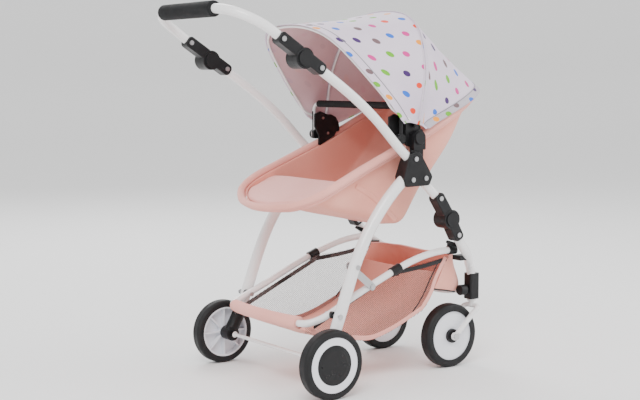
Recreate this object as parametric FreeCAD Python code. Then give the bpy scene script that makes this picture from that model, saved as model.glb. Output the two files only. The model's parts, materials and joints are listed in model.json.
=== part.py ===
import FreeCAD, Part

import math
import os

Vector = FreeCAD.Vector

# A doll stroller: four wheels, a folding tube frame, a lift-off seat with a hood, and a basket.
# Millimetres. X forward, Y to the child's left, Z up, and Z = 0 on the floor.
# Sizes along X are counted from the middle of the wheelbase; save() moves the whole
# stroller so that the origin lies under the middle of its overall length.
ORIGIN_SHIFT = 35.1

# --- driving dimensions ---
WHEEL_RADIUS = 57.5
TYRE_WIDTH = 23.2
HALF_WHEELBASE = 156.3
REAR_HALF_TRACK = 172.1
CASTER_HALF_TRACK = 97.8
STEER_X = 211.0
STEM_RADIUS = 5.0
FRAME_Y = 146.5
BASKET_TUBE_Y = 124.5
SEAT_Y = 120.0
HOOP_Y = 136.0

REAR_LEG_RADIUS = 10.0
TUBE_RADIUS = 8.0
BASKET_TUBE_RADIUS = 6.0
RIM_RADIUS = 7.0
HOOP_RADIUS = 2.2
AXLE_RADIUS = 3.3
BOLT_RADIUS = 3.0
RUNNING_GAP = 0.05
BODY_GAP = 0.4

FRONT_HINGE = (112.3, 274.8)
HANDLE_HINGE = (-194.4, 550.7)
SEAT_PIVOT = (52.0, 417.0)
HOOD_PIVOT = (48.0, 439.0)
BUMPER_PIVOT = (20.0, 416.0)

UP = Vector(0, 0, 1)
LEFT = Vector(0, 1, 0)


# --- helpers: points, curves and simple solids ---

def side_points(pairs, y):
    """Points at one height across the frame, from pairs of (x, z)."""
    return [Vector(x, y, z) for x, z in pairs]


def polar(centre, degrees, distance):
    """The (x, z) pair at a distance from centre, at an angle up from forward."""
    angle = math.radians(degrees)
    return centre[0] + distance * math.cos(angle), centre[1] + distance * math.sin(angle)


def smooth_curve(points, closed=False):
    curve = Part.BSplineCurve()
    curve.interpolate(Points=points, PeriodicFlag=closed)
    return curve


def smooth_wire(points, closed=False):
    return Part.Wire([smooth_curve(points, closed).toShape()])


def bent_wire(points, bend, closed=False):
    """Straight runs joined by arcs of radius bend, less where a run is too short."""
    count = len(points)
    corners = range(count) if closed else range(1, count - 1)
    arcs = {}
    for i in corners:
        before = points[i - 1] - points[i]
        after = points[(i + 1) % count] - points[i]
        half = before.getAngle(after) / 2
        if half > math.radians(89.5):
            continue
        cut = min(bend / math.tan(half), before.Length * 0.49, after.Length * 0.49)
        radius = cut * math.tan(half)
        before.normalize()
        after.normalize()
        middle = (before + after).normalize()
        top = points[i] + middle * (radius / math.sin(half) - radius)
        arcs[i] = (points[i] + before * cut, top, points[i] + after * cut)
    edges = []
    for i in range(count if closed else count - 1):
        following = (i + 1) % count
        start = arcs[i][2] if i in arcs else points[i]
        end = arcs[following][0] if following in arcs else points[following]
        if (end - start).Length > 1e-6:
            edges.append(Part.makeLine(start, end))
        if following in arcs:
            edges.append(Part.Arc(*arcs[following]).toShape())
    return Part.Wire(edges)


def pipe(wire, radius):
    first = wire.OrderedEdges[0]
    start = first.valueAt(first.FirstParameter)
    ring = Part.Wire([Part.makeCircle(radius, start, first.tangentAt(first.FirstParameter))])
    return wire.makePipeShell([ring], True, False)


def tube(points, radius):
    return pipe(smooth_wire(points), radius)


def bent_tube(points, radius, bend):
    return pipe(bent_wire(points, bend), radius)


def rod(start, end, radius):
    return Part.makeCylinder(radius, (end - start).Length, start, end - start)


def across(centre, radius, y_from, y_to):
    """A cylinder along Y round the (x, z) centre."""
    low, high = min(y_from, y_to), max(y_from, y_to)
    return Part.makeCylinder(radius, high - low, Vector(centre[0], low, centre[1]), LEFT)


def plate(outline, y_from, y_to, corner=0.0):
    """A flat plate with an (x, z) outline, between two places across the frame."""
    low, high = min(y_from, y_to), max(y_from, y_to)
    points = side_points(outline, low)
    wire = bent_wire(points, corner, True) if corner else Part.makePolygon(points + points[:1])
    return Part.Face(wire).extrude(LEFT * (high - low))


def box(x, y, z):
    """A block from (low, high) pairs along each axis."""
    low = Vector(min(x), min(y), min(z))
    return Part.makeBox(max(x) - low.x, max(y) - low.y, max(z) - low.z, low)


def softened(solid, radius, wanted):
    """Fillets the edges for which wanted(edge) is true."""
    return solid.makeFillet(radius, [edge for edge in solid.Edges if wanted(edge)])


def mirrored(shape):
    return shape.mirror(Vector(0, 0, 0), LEFT)


def both(shape):
    """The left-hand shape and its mirror image, as separate solids."""
    return Part.makeCompound([shape, mirrored(shape)])


def turned(centre, profile):
    """A solid of revolution about the Y line through (x, z) centre, from (radius, y) points."""
    points = [Vector(centre[0], y, centre[1] + radius) for radius, y in profile]
    face = Part.Face(Part.makePolygon(points + points[:1]))
    return face.revolve(Vector(centre[0], 0, centre[1]), LEFT, 360)


# --- routes of the tubes, left-hand side ---
REAR_AXLE = (-HALF_WHEELBASE, WHEEL_RADIUS)
FRONT_AXLE = (HALF_WHEELBASE, WHEEL_RADIUS)
REAR_LEG_LINE = [(-134.5, 92), (-104.3, 171.2), (-76, 238), (-24.3, 313), (23, 356)]
STUB_LINE = [(45, 357), (71, 328.3), (87, 312.5), (101.4, 291)]
HANDLE_LOWER_LINE = [(29, 379), (0.4, 404.2), (-38, 443), (-109, 500), (-150, 527.3), (-175.4, 543.2)]
BASKET_LINE = [
    (-150, 121.5), (-94.4, 145), (-42, 168.5), (34.8, 199), (77.5, 211), (121, 216.5), (140, 216.5),
]
BASKET_REAR_BAR = [(-165, 117, 117), (-173, 92, 116), (-178, 45, 116), (-179, 0, 116)]
HANDLE_ROUTE = [
    (-209, 146.5, 565), (-236, 146.5, 584), (-258, 145, 599), (-285, 134, 614),
    (-305, 113, 624), (-314, 86, 628), (-315.3, 40, 628), (-315.3, 0, 628),
]
LEG_FOOT_Z = 152.0
FRONT_LEG_ROUTE = [
    Vector(122, FRAME_Y, 257.5),
    Vector(140, FRAME_Y - 0.5, 232),
    Vector(161, 140, 209),
    Vector(188, 116, 187),
    Vector(206, 101, 169),
    Vector(STEER_X, CASTER_HALF_TRACK, LEG_FOOT_Z),
]
LEG_PIN = (-126.0, 129.6)
BRACE_LEG_PIN = (-90.0, 208.0)
BRACE_TUBE_PIN = (-42.0, 168.5)


# --- wheels ---

def tyre(centre, half_track, inner_radius):
    low = half_track - TYRE_WIDTH / 2
    ring = across(centre, WHEEL_RADIUS, low, low + TYRE_WIDTH)
    ring = softened(ring, 6.0, lambda edge: edge.Curve.TypeId == "Part::GeomCircle")
    return ring.cut(across(centre, inner_radius, low - 1, low + TYRE_WIDTH + 1))


REAR_RIM_RADIUS = 45.5
CAP_RADIUS = 33.0


def rear_hub():
    """A dished plastic wheel centre: rim band, thin web, bearing tube and ribs."""
    y = REAR_HALF_TRACK
    bore = AXLE_RADIUS + RUNNING_GAP
    profile = [
        (bore, y - 10.5), (9, y - 10.5), (9, y + 2), (42.5, y + 2), (42.5, y - 11),
        (REAR_RIM_RADIUS, y - 11), (REAR_RIM_RADIUS, y + 11), (CAP_RADIUS + 0.2, y + 11),
        (CAP_RADIUS + 0.2, y + 5), (bore, y + 5),
    ]
    hub = turned(REAR_AXLE, profile)
    for number in range(8):
        rib = box((8.5, 42.7), (y - 8, y + 2.1), (-1.2, 1.2))
        rib.rotate(Vector(0, 0, 0), LEFT, number * 45)
        rib.translate(Vector(REAR_AXLE[0], 0, REAR_AXLE[1]))
        hub = hub.fuse(rib)
    return hub.removeSplitter()


def rear_hub_cap():
    """A shallow domed cap, hollow behind, that hides the axle end."""
    y = REAR_HALF_TRACK
    profile = [
        (0, y + 12.5), (24, y + 12.2), (CAP_RADIUS, y + 11), (CAP_RADIUS, y + 5.2),
        (30, y + 5.2), (30, y + 9), (0, y + 9.6),
    ]
    return turned(REAR_AXLE, profile)


CASTER_RIM_RADIUS = 44.0


def caster_disc():
    y = CASTER_HALF_TRACK
    bore = BOLT_RADIUS + RUNNING_GAP
    profile = [
        (bore, y - 13.2), (12.5, y - 13.2), (12.5, y - 8), (CASTER_RIM_RADIUS, y - 9),
        (CASTER_RIM_RADIUS, y + 9), (12.5, y + 8), (12.5, y + 13.2), (bore, y + 13.2),
    ]
    return turned(FRONT_AXLE, profile)


# --- casters ---
FORK_ARM_Y = 18.6
FORK_TUBE_RADIUS = 4.7
CROWN = (213.0, 106.5)
HOUSING_BOTTOM = 119.0


def caster_fork():
    """A bent tube like a staple with a stem on top, and a flattened eye at each arm's end."""
    y = CASTER_HALF_TRACK
    foot = (FRONT_AXLE[0] + 3, FRONT_AXLE[1] + 2.5)
    route = [
        Vector(foot[0], y - FORK_ARM_Y, foot[1]),
        Vector(CROWN[0] - 16, y - FORK_ARM_Y, CROWN[1] - 12),
        Vector(CROWN[0], y - FORK_ARM_Y, CROWN[1]),
        Vector(CROWN[0], y + FORK_ARM_Y, CROWN[1]),
        Vector(CROWN[0] - 16, y + FORK_ARM_Y, CROWN[1] - 12),
        Vector(foot[0], y + FORK_ARM_Y, foot[1]),
    ]
    fork = bent_tube(route, FORK_TUBE_RADIUS, 11.0)
    stem = rod(Vector(STEER_X, y, CROWN[1] - 1), Vector(STEER_X, y, 146), STEM_RADIUS)
    collar = rod(Vector(STEER_X, y, HOUSING_BOTTOM - 4), Vector(STEER_X, y, HOUSING_BOTTOM - BODY_GAP), 8)
    fork = fork.fuse([stem, collar])
    for side in (-1, 1):
        middle = y + side * FORK_ARM_Y
        fork = fork.fuse(across(FRONT_AXLE, 7.0, middle - 2.4, middle + 2.4))
        fork = fork.cut(across(FRONT_AXLE, 9.0, middle - side * 2.4, middle - side * 6))
        fork = fork.cut(across(FRONT_AXLE, 8.0, middle + side * 2.4, middle + side * 6))
    return fork.cut(across(FRONT_AXLE, BOLT_RADIUS, y - 30, y + 30)).removeSplitter()


def caster_bolt():
    y = CASTER_HALF_TRACK
    reach = FORK_ARM_Y + 2.4
    shank = across(FRONT_AXLE, BOLT_RADIUS, y - reach, y + reach)
    heads = [across(FRONT_AXLE, 5.5, y + side * reach, y + side * (reach + 3.2)) for side in (-1, 1)]
    return shank.fuse(heads).removeSplitter()


KNOB_Z = 136.5
KNOB_FACE_X = 181.0
HOUSING_BACK_X = 200.0


def caster_housing(leg):
    """The swivel housing: leg socket on top, stem bearing below, lock knob at the back."""
    y = CASTER_HALF_TRACK
    block = box((HOUSING_BACK_X, STEER_X + 10.5), (y - 10.5, y + 10.5), (HOUSING_BOTTOM, 166))
    block = softened(block, 4.0, lambda edge: abs(edge.tangentAt(edge.FirstParameter).z) > 0.9)
    bearing = rod(Vector(STEER_X, y, HOUSING_BOTTOM - 1), Vector(STEER_X, y, 147), STEM_RADIUS + RUNNING_GAP)
    bore = rod(Vector(HOUSING_BACK_X - 1, y, KNOB_Z), Vector(STEER_X, y, KNOB_Z), 4.0 + RUNNING_GAP)
    socket = rod(Vector(STEER_X - 2, y - 17, 135), Vector(STEER_X - 2, y - 4.8, 138.6), 5.3)
    for hole in (leg, bearing, socket, bore):
        block = block.cut(hole)
    return block


def swivel_lock_knob():
    """A round push knob whose stem reaches the caster stem."""
    y = CASTER_HALF_TRACK
    back = HOUSING_BACK_X
    head = rod(Vector(KNOB_FACE_X, y, KNOB_Z), Vector(back - 4.5, y, KNOB_Z), 9.5)
    head = softened(head, 1.5, lambda edge: edge.Curve.TypeId == "Part::GeomCircle")
    stem = rod(Vector(back - 5, y, KNOB_Z), Vector(back + 1.5, y, KNOB_Z), 4.0)
    return head.fuse(stem).removeSplitter()


# --- push-button hinges, the same on both sides and not mirrored ---
HINGE_DRUM = 17.0
HINGE_HALF = 11.0
HINGE_SPLIT = 0.2
BUTTON_RADIUS = 13.0
BUTTON_TRAVEL = 4.0


def hinge_arm(centre, y, degrees, reach, offset):
    """The bar that grips a tube end: 20 wide with a rounded end, its line offset from the axis."""
    bar = box((0, reach), (y - HINGE_HALF, y + HINGE_HALF), (offset - 10, offset + 10))
    bar = softened(bar, 7.0, lambda edge: edge.CenterOfMass.x > reach - 0.1 and edge.Length > 21)
    bar = softened(bar, 2.0, lambda edge: abs(edge.tangentAt(edge.FirstParameter).x) > 0.99)
    bar.rotate(Vector(0, 0, 0), LEFT, -degrees)
    bar.translate(Vector(centre[0], 0, centre[1]))
    return bar


def plain_half(centre, y, degrees, reach, offset=0.0):
    """The half with the drum on the right, a raised boss and the hinge pin."""
    far = y + HINGE_HALF + 12
    half = hinge_arm(centre, y, degrees, reach, offset)
    half = half.cut(across(centre, HINGE_DRUM + BODY_GAP, y - HINGE_SPLIT, far))
    drum = across(centre, HINGE_DRUM, y - HINGE_HALF, y - HINGE_SPLIT)
    boss = across(centre, 12.5, y - HINGE_HALF - 2, y - HINGE_HALF)
    pin = across(centre, 5.0, y - HINGE_SPLIT - 0.5, y + 9.5)
    return half.fuse([drum, boss, pin]).removeSplitter()


def button_half(centre, y, degrees, reach, offset=0.0):
    """The half with the drum on the left, which also holds the push button's cup."""
    half = hinge_arm(centre, y, degrees, reach, offset)
    half = half.cut(across(centre, HINGE_DRUM + BODY_GAP, y - HINGE_HALF - 3, y + HINGE_SPLIT))
    half = half.fuse(across(centre, HINGE_DRUM, y + HINGE_SPLIT, y + 20))
    pocket = across(centre, BUTTON_RADIUS + 0.1, y + HINGE_HALF, y + 21)
    bore = across(centre, 5.0 + RUNNING_GAP, y, y + 12)
    return half.cut([pocket, bore]).removeSplitter()


def hinge_button(centre, y):
    button = across(centre, BUTTON_RADIUS, y + HINGE_HALF + BUTTON_TRAVEL + 0.6, y + 22.5)
    return softened(button, 1.2, lambda edge: edge.CenterOfMass.y > y + 22)


# --- the seat's rim, an open loop seen from above that rises to the head end ---
RIM_HALF = [
    (-212, 0, 314.5), (-203, 55, 313), (-172, 96, 311.5), (-130, 114, 320), (-60, SEAT_Y, 357),
    (70, SEAT_Y, 418), (178, 119, 465), (222, 108, 479), (243, 66, 483), (248, 0, 484),
]


def rim_tube(radius):
    """The rim's closed tube, swept in two halves that meet at the foot and at the head."""
    left = [Vector(*point) for point in RIM_HALF]
    right = [Vector(point.x, -point.y, point.z) for point in reversed(left[1:-1])]
    curve = smooth_curve(left + right, True)
    head = curve.parameter(left[-1])
    spans = [(curve.FirstParameter, head), (head, curve.LastParameter)]
    halves = [pipe(Part.Wire([curve.toShape(*span)]), radius) for span in spans]
    return halves[0].fuse(halves[1])


def hull(inset):
    """The seat's fabric bucket as a solid block, each face moved in by inset."""
    side = [
        (-222 + inset, 330), (-222 + inset, 305 + inset), (-118, 299 + inset), (-67, 286 + inset),
        (43 - inset / 2, 268 + inset), (62 - inset, 288), (103 - inset, 352), (153 - inset, 408),
        (190 - inset, 443), (238 - inset, 472), (262, 486), (262, 560), (-222 + inset, 560),
    ]
    block = plate(side, -140, 140)
    width = SEAT_Y - RIM_RADIUS - 1.0 - inset
    plan = [
        Vector(-204 + inset, 0, 0), Vector(-196 + inset, 50, 0), Vector(-168, 86 - inset, 0),
        Vector(-128, 104 - inset, 0), Vector(-60, width, 0), Vector(176, width, 0),
        Vector(216 - inset, 98 - inset, 0), Vector(234 - inset, 60, 0), Vector(238 - inset, 0, 0),
    ]
    other = [Vector(point.x, -point.y, 0) for point in reversed(plan[1:-1])]
    column = Part.Face(smooth_wire(plan + other, True)).extrude(UP * 700)
    return block.common(column)


def under_rim(z_drop):
    """Everything below a surface that follows the rim, z_drop lower than its centre."""
    line = [(x, z - z_drop) for x, y, z in RIM_HALF]
    top = smooth_wire(side_points([(-260, line[0][1])] + line + [(290, line[-1][1])], -200))
    ends = [Vector(290, -200, 0), Vector(-260, -200, 0)]
    last = top.Edges[-1]
    rest = Part.makePolygon([last.valueAt(last.LastParameter)] + ends + [last.valueAt(last.FirstParameter)])
    return Part.Face(Part.Wire(top.Edges + rest.Edges)).extrude(LEFT * 400)


SHELL_THICKNESS = 2.5


def seat_shell(brackets):
    """The fabric bucket: open on top, closed at the sides, the bottom and the back."""
    shell = hull(0).cut(hull(SHELL_THICKNESS)).common(under_rim(2.0))
    return shell.cut([rim_tube(RIM_RADIUS + 0.2), brackets])


def seat_floor_pad():
    """The padded insert at the foot end, rounded to the seat's plan."""
    under = [(-200, 307.7), (-118, 301.8), (-70, 289.6)]
    over = [(-70, 294), (-118, 307.5), (-200, 311.6)]
    outline = [(-196, 0), (-186, 42), (-160, 68), (-110, 82), (-70, 84)]
    plan = [Vector(x, y, 0) for x, y in outline]
    other = [Vector(x, -y, 0) for x, y in outline[1:]]
    curve = smooth_wire(plan[::-1] + other)
    edge = Part.Wire(curve.Edges + Part.makePolygon([other[-1], plan[-1]]).Edges)
    return plate(under + over, -100, 100).common(Part.Face(edge).extrude(UP * 600))


# --- how the seat sits on the frame, left-hand side: layers counted outwards along Y ---
CHEEK = (127.2, 130.2)
BLADE = (130.8, 133.6)
ADAPTER = (134.2, 141.5)
JUNCTION = (134.0, 159.0)
SEAT_PIN_RADIUS = 5.0
BUMPER_PIN_RADIUS = 2.5
HOOD_PIN_RADIUS = 3.0


def junction_bracket(tubes):
    """The moulded block where the rear leg, the front stub and the handle tube meet."""
    outline = [(8, 336), (60, 337), (67, 352), (40, 394), (20, 394), (4, 352)]
    block = plate(outline, *JUNCTION, 7.0)
    block = softened(block, 1.5, lambda edge: abs(edge.CenterOfMass.y - JUNCTION[1]) < 0.01)
    return block.cut(tubes)


def seat_post():
    """Stands on the junction's inner face; its blade has an open slot for the seat's pin."""
    x, z = SEAT_PIVOT
    body = plate([(14, 344), (50, 350), (64, 362), (66, 390), (38, 390)], 128, JUNCTION[0], 3.0)
    blade = plate([(38, 385), (66, 385), (66, 426), (38, 426)], *BLADE, 3.0)
    slot = across(SEAT_PIVOT, SEAT_PIN_RADIUS + 0.1, *BLADE)
    mouth = box((x - SEAT_PIN_RADIUS - 0.1, x + SEAT_PIN_RADIUS + 0.1), BLADE, (z, z + 12))
    return body.fuse(blade).cut([slot, mouth]).removeSplitter()


def seat_adapter():
    """The block that drops over the post, with a round cover outside and the seat's pin inside."""
    x, z = SEAT_PIVOT
    block = plate([(x - 13, 397), (x + 13, 397), (x + 13, z), (x - 13, z)], *ADAPTER, 2.0)
    block = block.fuse(across(SEAT_PIVOT, 13.0, *ADAPTER))
    cover = across(SEAT_PIVOT, 11.0, ADAPTER[1], ADAPTER[1] + 3)
    cover = softened(cover, 1.0, lambda edge: edge.CenterOfMass.y > ADAPTER[1] + 2.9)
    pin = across(SEAT_PIVOT, SEAT_PIN_RADIUS, CHEEK[0], ADAPTER[0])
    return block.fuse([cover, pin]).removeSplitter()


def seat_bracket(rim):
    """Saddles the rim and carries the seat pin, the hood pin and the bumper bar's lug."""
    saddle = plate([(30, 420), (64, 420), (62, 436), (55, 447), (44, 452), (31, 450)], 109, CHEEK[1], 4.0)
    cheek = plate([(30, 404), (68, 400), (68, 432), (30, 432)], *CHEEK, 4.0)
    inner = plate(
        [(17, 394), (52, 412), (57, 421), (42, 438), (36, 452), (20, 458), (8, 453), (8, 430), (17, 414)],
        109, 112.6, 2.5,
    )
    heads = [across(centre, 2.6, 108.2, 109) for centre in ((26, 445.5), (37, 417.5))]
    lug = plate([(13, 407), (40, 409), (40, 424), (13, 424)], 120, 126.2, 4.0)
    pins = [
        across(HOOD_PIVOT, HOOD_PIN_RADIUS, CHEEK[0], 136),
        across(HOOD_PIVOT, 5.0, 136, 137.5),
        across(BUMPER_PIVOT, BUMPER_PIN_RADIUS, 122, 133.2),
    ]
    bracket = saddle.fuse([cheek, inner, lug] + heads + pins)
    return bracket.cut([rim, across(SEAT_PIVOT, SEAT_PIN_RADIUS + RUNNING_GAP, 120, 140)]).removeSplitter()


# --- bumper bar, a wire staple over the seat with a foam sleeve ---
BUMPER_Y = 130.0
BUMPER_RADIUS = 3.25
BUMPER_TOP = 472.0


def bumper_bar():
    x, z = BUMPER_PIVOT
    route = [
        Vector(x, BUMPER_Y, z), Vector(x, BUMPER_Y, BUMPER_TOP),
        Vector(x, -BUMPER_Y, BUMPER_TOP), Vector(x, -BUMPER_Y, z),
    ]
    bar = bent_tube(route, BUMPER_RADIUS, 14.0)
    eyes = [across(BUMPER_PIVOT, 8.5, side * 127.0, side * 132.8) for side in (-1, 1)]
    bores = across(BUMPER_PIVOT, BUMPER_PIN_RADIUS + RUNNING_GAP, -150, 150)
    return bar.fuse(eyes).cut(bores).removeSplitter()


def bumper_sleeve(bar):
    x = BUMPER_PIVOT[0]
    sleeve = rod(Vector(x, -115, BUMPER_TOP), Vector(x, 115, BUMPER_TOP), 6.2)
    sleeve = softened(sleeve, 2.0, lambda edge: edge.Curve.TypeId == "Part::GeomCircle")
    return sleeve.cut(bar)


# --- hood: two wire arches that turn about one line, and the cloth between them ---
FRONT_HOOP_ANGLE = 131.8
MID_HOOP_ANGLE = 84.0
FRONT_HOOP_FOOT = (20.0, 441.0)
MID_HOOP_FOOT = (52.0, 437.0)
FRONT_ARCH = [(HOOP_Y, 0), (HOOP_Y, 45), (133, 94), (126, 142), (111, 184), (82, 214), (42, 228), (0, 230)]
MID_ARCH = [
    (HOOP_Y, 12), (HOOP_Y + 2, 45), (HOOP_Y + 2, 95), (131, 134), (116, 162), (90, 183), (50, 197), (0, 201),
]


def arch_points(foot, degrees, arch, outwards=0.0):
    """An arch's points, from pairs of (half width, distance from its foot), grown outwards."""
    points = []
    top = arch[-1][1]
    for half_width, along in arch:
        x, z = polar(foot, degrees, along * (1 + outwards / top))
        points.append(Vector(x, half_width * (1 + outwards / HOOP_Y), z))
    return points + [Vector(point.x, -point.y, point.z) for point in reversed(points[:-1])]


def hood_hoop(foot, degrees, arch, hub_y):
    """A wire arch with a flat link and an eye round the hood pivot at each end."""
    hoop = tube(arch_points(foot, degrees, arch), HOOP_RADIUS)
    end = polar(foot, degrees, arch[0][1])
    for side in (-1, 1):
        inner, outer = side * hub_y, side * (hub_y + 1.6)
        link = strap(HOOD_PIVOT, end, 3.6, inner, outer)
        eye = across(HOOD_PIVOT, 6.5, inner, outer)
        joint = across(end, 3.2, inner, side * (HOOP_Y + HOOP_RADIUS - 0.4))
        hoop = hoop.fuse([link, eye, joint])
    return hoop.cut(across(HOOD_PIVOT, HOOD_PIN_RADIUS + RUNNING_GAP, -160, 160)).removeSplitter()


CLOTH = 1.6
CLOTH_CLEARANCE = HOOP_RADIUS + 1.2
REAR_HEM = [
    (HOOP_Y, 0), (HOOP_Y, 45), (HOOP_Y - 1, 110), (129, 165), (112, 192), (78, 206), (36, 210), (0, 211),
]
FRONT_EDGE = (FRONT_HOOP_FOOT, FRONT_HOOP_ANGLE, [(HOOP_Y, 12)] + FRONT_ARCH[1:])
MIDDLE_EDGE = (MID_HOOP_FOOT, MID_HOOP_ANGLE, MID_ARCH)
REAR_EDGE = ((52.0, 428.0), 17.5, REAR_HEM)


def hood_cloth(edge_a, edge_b):
    """A taut band of cloth over two arches, clear of their wires."""
    sections = []
    for foot, degrees, arch in (edge_a, edge_b):
        outer = arch_points(foot, degrees, arch, CLOTH_CLEARANCE + CLOTH)
        inner = arch_points(foot, degrees, arch, CLOTH_CLEARANCE)[::-1]
        right_end = Part.makeLine(outer[-1], inner[0])
        left_end = Part.makeLine(inner[-1], outer[0])
        over, under = [smooth_curve(points).toShape() for points in (outer, inner)]
        sections.append(Part.Wire([over, right_end, under, left_end]))
    return Part.makeLoft(sections, True, True)


# --- basket ---
BASKET_BOTTOM = [
    (-172, 106.5), (-158, 100), (-120, 86), (-66, 77), (-30, 73.5), (10, 83), (48, 98), (84, 114),
    (106, 140), (122, 176),
]
BASKET_TOP = [(136, 204), (13, 189), (-150, 113)]
BASKET_HALF = 114.0
SLEEVE_RADIUS = 11.0


def basket_tube():
    """A tube bent round the back of the basket, its two arms rising to the front."""
    left = side_points(BASKET_LINE[::-1], BASKET_TUBE_Y)
    back = [Vector(*point) for point in BASKET_REAR_BAR]
    right = [Vector(point.x, -point.y, point.z) for point in reversed(left + back[:-1])]
    return tube(left + back + right, BASKET_TUBE_RADIUS)


def rear_sleeve():
    """The outer shape of the cloth hem sewn round the rear bar."""
    left = [Vector(-170.5, 101, 116.3)] + [Vector(*point) for point in BASKET_REAR_BAR[1:]]
    right = [Vector(point.x, -point.y, point.z) for point in reversed(left[:-1])]
    return tube(left + right, SLEEVE_RADIUS)


def basket_floor(sleeve):
    """The strip of cloth that hangs under the frame from back to front."""
    below = [(x - 0.6, z - CLOTH) for x, z in BASKET_BOTTOM]
    strip = plate(BASKET_BOTTOM + below[::-1], -BASKET_HALF, BASKET_HALF)
    return max(strip.cut(sleeve).Solids, key=lambda solid: solid.Volume)


def basket_side():
    """One mesh side panel, between the cloth floor and the frame tube."""
    outline = [(x, z + 0.2) for x, z in BASKET_BOTTOM[1:]] + BASKET_TOP
    return plate(outline, BASKET_HALF - 2.5, BASKET_HALF - 1.0)


def basket_front_pouch():
    """The cloth bag that closes the basket's front and reaches the crossbar."""
    outer = [(110, 148), (138, 132), (194, 131), (201.5, 150), (178, 204), (140, 204), (126, 180)]
    inner = [(113.5, 149), (139, 134), (193, 133), (199.2, 150), (176, 204.5), (144, 204.5), (129, 180)]
    plan = [(108, 113), (142, 112), (179, 82), (204, 80)]
    solids = []
    for outline, shrink in ((outer, 0), (inner, 1.6)):
        points = [Vector(x, y - shrink, 0) for x, y in plan]
        points += [Vector(point.x, -point.y, 0) for point in reversed(points)]
        column = Part.Face(Part.makePolygon(points + points[:1])).extrude(UP * 300)
        solids.append(plate(outline, -120, 120).common(column))
    return solids[0].cut(solids[1])


def basket_clips(bar, leg):
    """Per side: the clip that holds the cloth, the spacer at the leg bolt and the tube's end cap."""
    around = [
        rod(Vector(4, BASKET_TUBE_Y, 187.5), Vector(23, BASKET_TUBE_Y, 194.9), 8.2),
        rod(Vector(131, BASKET_TUBE_Y, 216.5), Vector(147, BASKET_TUBE_Y, 216.5), 8.0),
    ]
    tab = box((5, 21), (BASKET_HALF - 0.9, BASKET_TUBE_Y), (181, 190))
    lug = plate([(131, 220), (143, 220), (143, 230), (131, 230)], 121.5, 126.5, 2.5)
    pin = across(LEVER_PIVOT, LEVER_PIN_RADIUS, 124, LEVER_Y[1] + 0.2)
    clip = around[0].fuse(tab).cut(bar)
    cap = around[1].fuse([lug, pin]).cut(bar).removeSplitter()
    spacer = across(LEG_PIN, 6.0, BASKET_TUBE_Y + 4, FRAME_Y - 8).cut([bar, leg])
    return [clip, cap, spacer]


LEVER_PIVOT = (137.0, 226.5)
LEVER_PIN_RADIUS = 1.6
LEVER_Y = (132.9, 135.0)


def latch_lever():
    """The small lever that locks the basket tube's end to the front leg."""
    outline = [(146, 223), (147, 229), (139, 230.5), (121, 236), (118, 232), (133, 224)]
    lever = plate(outline, *LEVER_Y, 1.4)
    return lever.cut(across(LEVER_PIVOT, LEVER_PIN_RADIUS + RUNNING_GAP, 120, 140))


def basket_saddle(leg):
    """The rest on the front leg that the basket tube's end drops on to."""
    block = box((146.5, 166), (119, 140), (198, 206.5))
    return max(block.cut(leg).Solids, key=lambda solid: solid.Volume)


def strap(start, end, radius, y_from, y_to):
    """A flat link with round ends between two (x, z) points."""
    along = Vector(end[0] - start[0], 0, end[1] - start[1])
    side = along.cross(LEFT).normalize() * radius
    corners = [(start[0] + side.x, start[1] + side.z), (end[0] + side.x, end[1] + side.z),
               (end[0] - side.x, end[1] - side.z), (start[0] - side.x, start[1] - side.z)]
    bar = plate(corners, y_from, y_to)
    return bar.fuse([across(point, radius, y_from, y_to) for point in (start, end)]).removeSplitter()


# --- rivets: a shank and two flat heads ---
RIVET_RADIUS = 2.5
HEAD_RADIUS = 4.2
HEAD_HEIGHT = 1.5


def rivet(point, y_from, y_to):
    low, high = min(y_from, y_to), max(y_from, y_to)
    heads = [
        across(point, HEAD_RADIUS, low - HEAD_HEIGHT, low),
        across(point, HEAD_RADIUS, high, high + HEAD_HEIGHT),
    ]
    return across(point, RIVET_RADIUS, low, high).fuse(heads).removeSplitter()


def group(solids):
    return Part.makeCompound([solid for shape in solids for solid in shape.Solids])


def save(name, shape):
    moved = shape.copy()
    moved.translate(Vector(ORIGIN_SHIFT, 0, 0))
    moved.exportStep(f"parts/{name}.step")


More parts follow.
